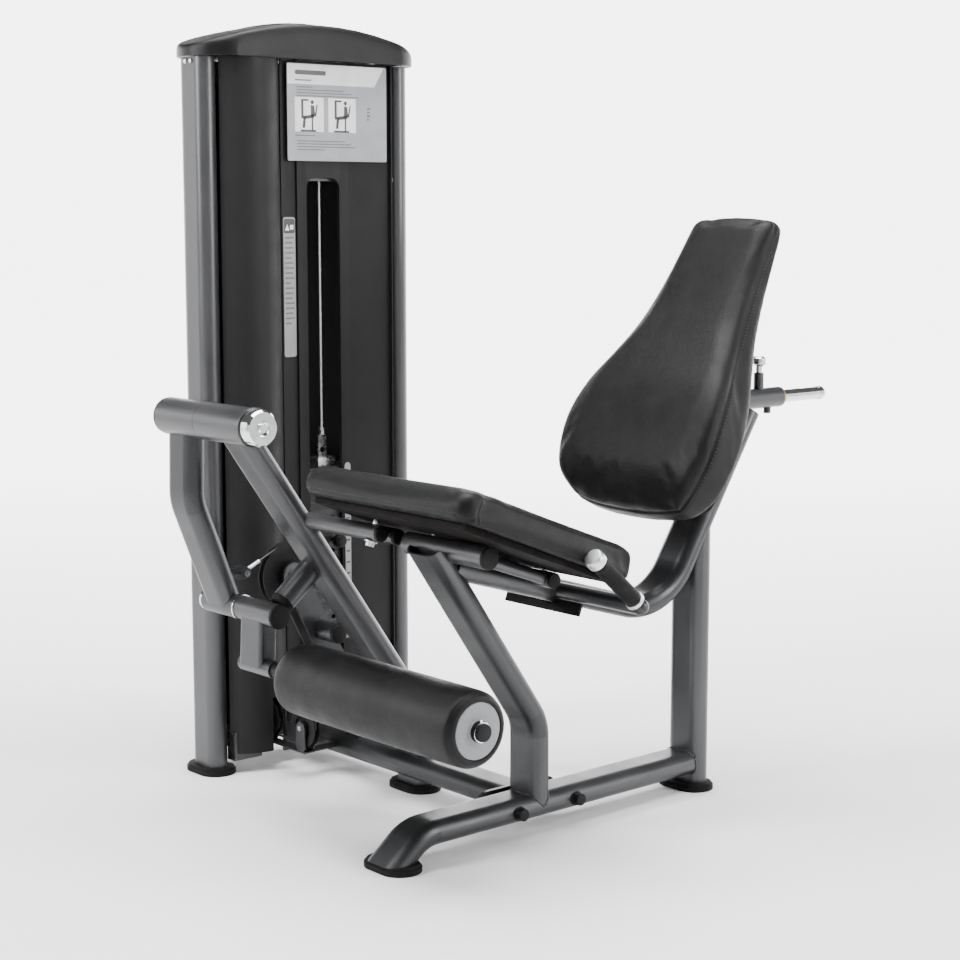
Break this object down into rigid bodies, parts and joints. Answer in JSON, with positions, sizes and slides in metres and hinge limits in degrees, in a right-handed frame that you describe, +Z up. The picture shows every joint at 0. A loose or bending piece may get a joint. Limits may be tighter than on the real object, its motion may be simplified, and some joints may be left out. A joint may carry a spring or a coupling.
{
  "type": "leg extension machine",
  "caption": "Seated leg extension machine: swinging lever with foam roller, padded seat, sliding backrest, and a cable to a pin-selected weight stack in a shrouded tower.",
  "frame": {"origin": "on the floor, at the centre of the whole machine's bounding box", "axes": "+Z up, the sitter faces -Y, +X is the sitter's left and the tower is at -X"},
  "size_m": [1.1506, 1.378, 1.643],
  "materials": {
    "frame_paint": "satin metallic charcoal powder coat",
    "dark_paint": "matte black powder coat",
    "black_plastic": "moulded black plastic",
    "rubber": "matte black rubber",
    "grip_rubber": "black grip rubber",
    "vinyl": "black upholstery vinyl with a fine grain",
    "ply": "black painted plywood",
    "chrome": "polished chrome plate",
    "zinc": "bright zinc plate",
    "aluminium": "satin aluminium",
    "bronze": "sintered bronze",
    "cable_sleeve": "black nylon sleeve over steel cable",
    "bright_cable": "bright stranded steel",
    "placard_white": "pale printed plastic",
    "label_grey": "grey printed label",
    "weight_steel": "black painted steel plate",
    "speckled_plastic": "grey speckled moulded plastic"
  },
  "bodies": {
    "frame": {"base_rail": "frame_paint", "seat_strut": "frame_paint", "pivot_strut": "frame_paint", "rear_post": "frame_paint", "cross_rail": "frame_paint", "tower_frame": "frame_paint", "back_frame": "frame_paint", "seat_frame": "frame_paint", "handle_bar": "frame_paint", "underseat_plate": "dark_paint", "rubber_feet": "rubber", "tube_caps": "black_plastic", "frame_bolts": "black_plastic", "seat_studs": "zinc", "grip_sleeves": "grip_rubber", "grip_collars": "aluminium", "seat_board": "ply", "seat_pad": "vinyl", "back_sleeve": "frame_paint", "plain_bushes": "bronze", "pivot_housing": "frame_paint", "stop_bumper": "rubber", "pulley_brackets": "frame_paint", "pulley_axles": "zinc", "front_shroud": "dark_paint", "slot_panel": "dark_paint", "rear_cover": "dark_paint", "top_cap": "black_plastic", "placards": "placard_white", "weight_strip": "label_grey", "guide_rods": "chrome", "stack_bumpers": "rubber", "fixed_plates": "weight_steel", "main_cable": "cable_sleeve", "stack_cable": "bright_cable"},
    "lever": {"lever_arm": "frame_paint", "lever_cross_tube": "frame_paint", "pivot_shaft": "chrome", "lever_chrome": "chrome", "lever_end_cap": "black_plastic", "cable_clevis": "frame_paint"},
    "shin": {"shin_arm": "frame_paint", "shin_end_cap": "black_plastic", "roller_axle": "zinc", "roller_retainer": "black_plastic"},
    "roller": {"roller_pad": "vinyl", "roller_core": "speckled_plastic"},
    "cable_end": {"cable_eye": "zinc"},
    "cable_run": {"lever_cable": "cable_sleeve"},
    "stack": {"lifted_plates": "weight_steel", "selector_rod": "zinc"},
    "pin": {"selector_pin": "black_plastic"},
    "lever_pulley": {"big_pulley": "black_plastic"},
    "floor_pulley_front": {"feed_pulley_front": "black_plastic"},
    "floor_pulley_rear": {"feed_pulley_rear": "black_plastic"},
    "head_pulley": {"top_pulley": "black_plastic"},
    "backrest": {"back_pad": "vinyl", "back_board": "ply", "slide_rod": "chrome"},
    "lock_pin": {"back_pull_pin": "zinc"}
  },
  "joints": [
    {"name": "lever_swing", "type": "hinge", "parent": "frame", "child": "lever", "pos_m": [-0.14625, -0.651, 0.822], "axis": [-1, 0, 0], "range_deg": [0, 95]},
    {"name": "shin_swing", "type": "hinge", "parent": "lever", "child": "shin", "pos_m": [-0.14325, -0.558, 0.427], "axis": [-1, 0, 0], "range_deg": [-25, 25]},
    {"name": "roller_spin", "type": "hinge", "parent": "shin", "child": "roller", "pos_m": [0.27775, -0.563, 0.317], "axis": [1, 0, 0], "continuous": true},
    {"name": "cable_eye_swing", "type": "hinge", "parent": "lever", "child": "cable_end", "pos_m": [-0.26425, -0.513, 0.486], "axis": [1, 0, 0], "range_deg": [0, 54.7]},
    {"name": "cable_pay_out", "type": "slide", "parent": "cable_end", "child": "cable_run", "axis": [0, 0.9109, 0.4127], "range_m": [0, 0.5493], "deforming": ["lever_cable"]},
    {"name": "stack_lift", "type": "slide", "parent": "frame", "child": "stack", "axis": [0, 0, 1], "range_m": [0, 0.5022], "deforming": ["stack_cable"]},
    {"name": "selector_pin_pull", "type": "slide", "parent": "stack", "child": "pin", "axis": [1, 0, 0], "range_m": [0, 0.06]},
    {"name": "big_pulley_spin", "type": "hinge", "parent": "frame", "child": "lever_pulley", "pos_m": [-0.26425, -0.395, 0.467], "axis": [1, 0, 0], "range_deg": [0, 436]},
    {"name": "front_floor_pulley_spin", "type": "hinge", "parent": "frame", "child": "floor_pulley_front", "pos_m": [-0.30225, -0.329, 0.112], "axis": [0, -1, 0], "range_deg": [0, 757]},
    {"name": "rear_floor_pulley_spin", "type": "hinge", "parent": "frame", "child": "floor_pulley_rear", "pos_m": [-0.43625, -0.329, 0.112], "axis": [0, -1, 0], "range_deg": [0, 757]},
    {"name": "top_pulley_spin", "type": "hinge", "parent": "frame", "child": "head_pulley", "pos_m": [-0.47425, -0.238, 1.408], "axis": [1, 0, 0], "range_deg": [0, 317]},
    {"name": "back_slide", "type": "slide", "parent": "frame", "child": "backrest", "axis": [0, -1, 0], "range_m": [0, 0.12]},
    {"name": "back_pin_pull", "type": "slide", "parent": "frame", "child": "lock_pin", "axis": [0, 0, 1], "range_m": [0, 0.01], "stiffness_N_per_m": 800, "springref_m": -0.01}
  ],
  "couplings": [
    {"joint": "cable_eye_swing", "follows": "lever_swing", "ratio": 0.5703},
    {"joint": "cable_pay_out", "follows": "lever_swing", "m_per_rad": 0.3307},
    {"joint": "stack_lift", "follows": "lever_swing", "m_per_rad": 0.3023},
    {"joint": "big_pulley_spin", "follows": "lever_swing", "ratio": 4.58},
    {"joint": "front_floor_pulley_spin", "follows": "lever_swing", "ratio": 7.955},
    {"joint": "rear_floor_pulley_spin", "follows": "lever_swing", "ratio": 7.955},
    {"joint": "top_pulley_spin", "follows": "lever_swing", "ratio": 3.322}
  ]
}
